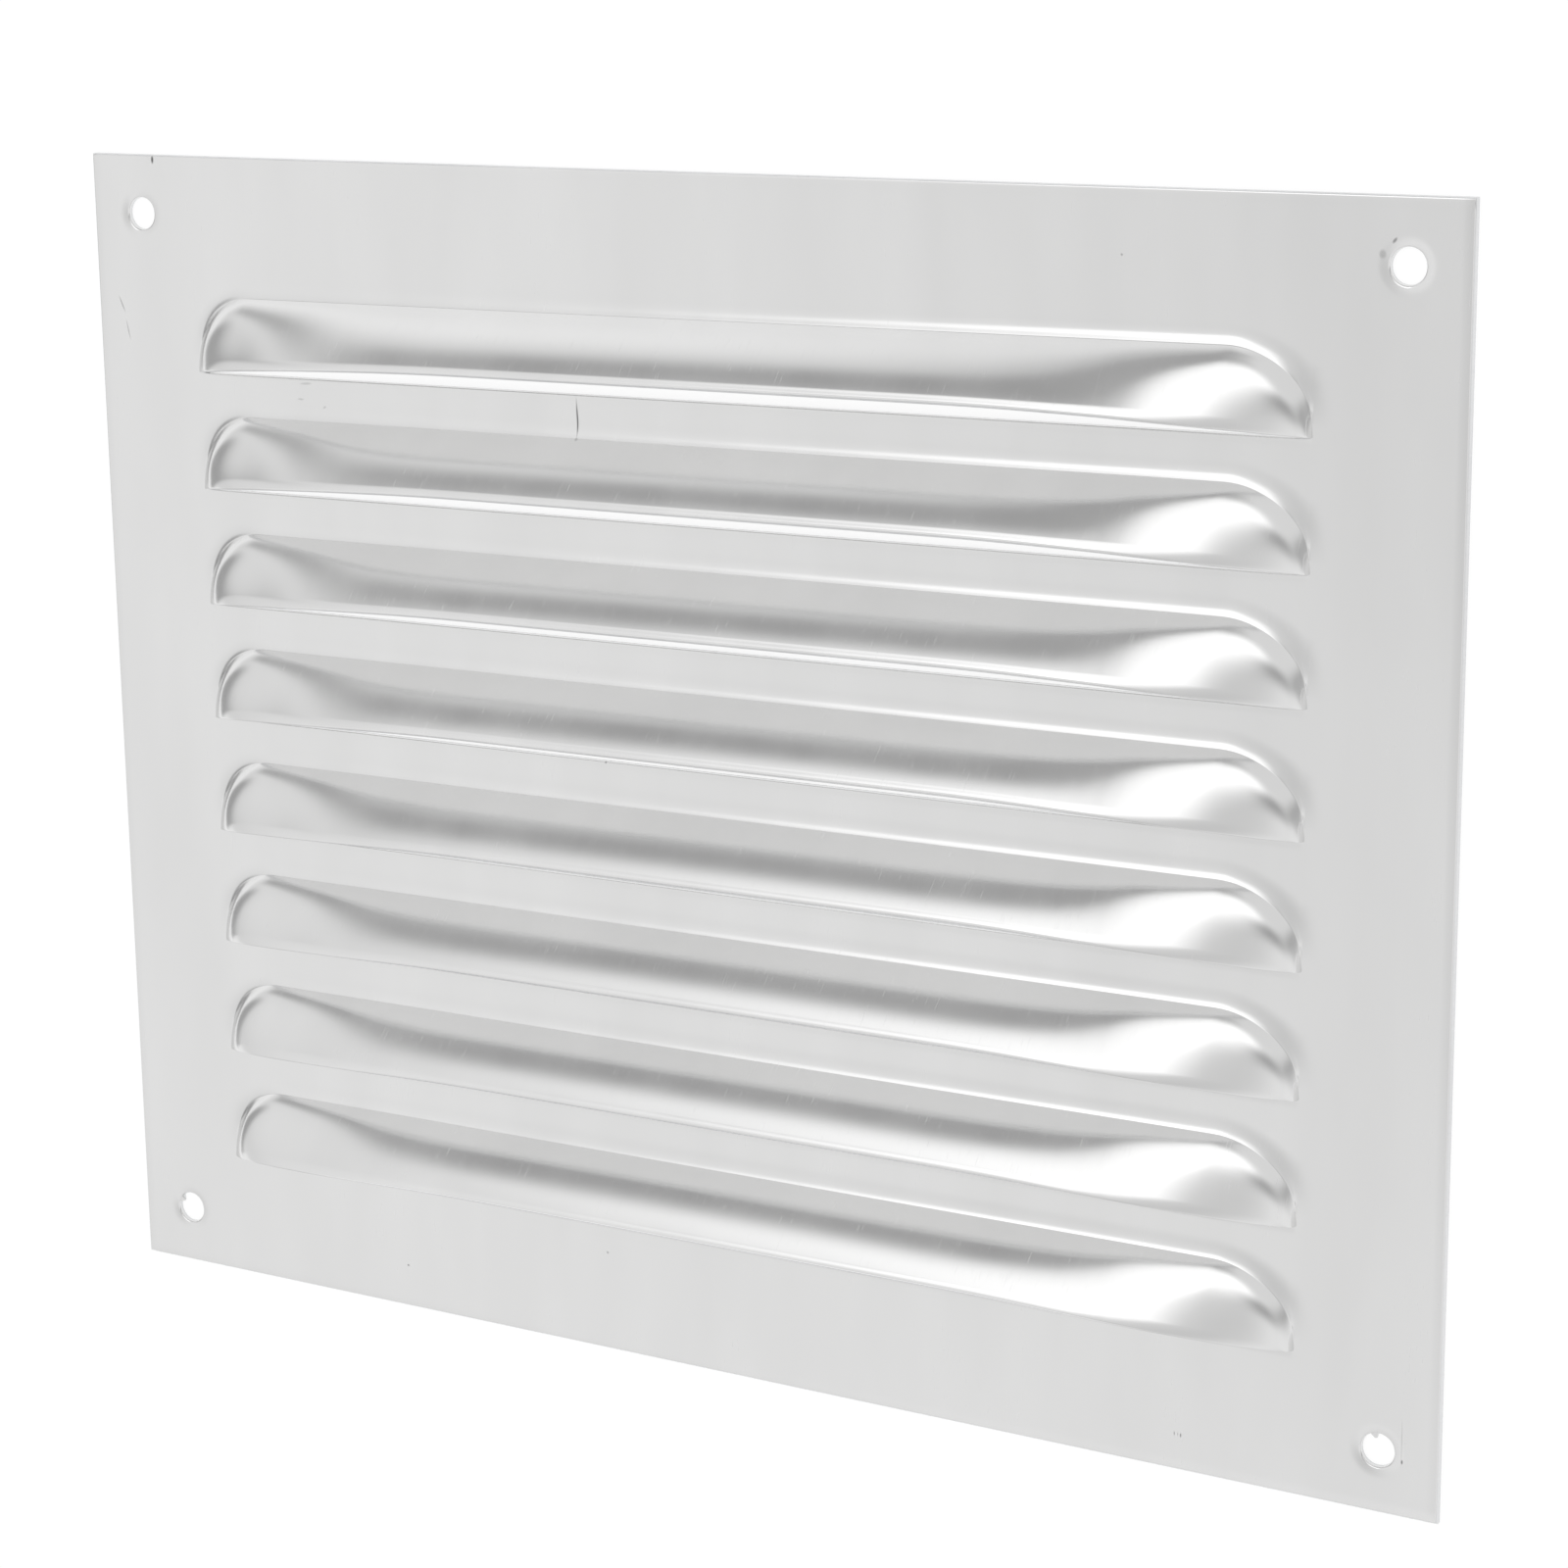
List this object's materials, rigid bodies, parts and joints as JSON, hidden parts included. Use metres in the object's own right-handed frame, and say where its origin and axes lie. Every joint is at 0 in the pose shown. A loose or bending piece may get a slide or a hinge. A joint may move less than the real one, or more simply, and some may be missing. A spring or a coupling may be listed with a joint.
{
  "type": "louvred sheet metal panel",
  "caption": "Flat rectangular vent panel pressed from one aluminium sheet, with a ladder of full-width hooded louvres and a screw hole near each corner.",
  "frame": {"origin": "middle of the panel's back face, which is the face it is screwed down on", "axes": "+X runs along the louvres, +Y points to the top edge, away from the louvres' mouths, and +Z points out of the front"},
  "size_m": [0.25, 0.2, 0.0108],
  "materials": {
    "sheet_aluminium": "bare mill finish, lightly brushed"
  },
  "bodies": {
    "root": {"louvred_panel": "sheet_aluminium"}
  },
  "joints": []
}
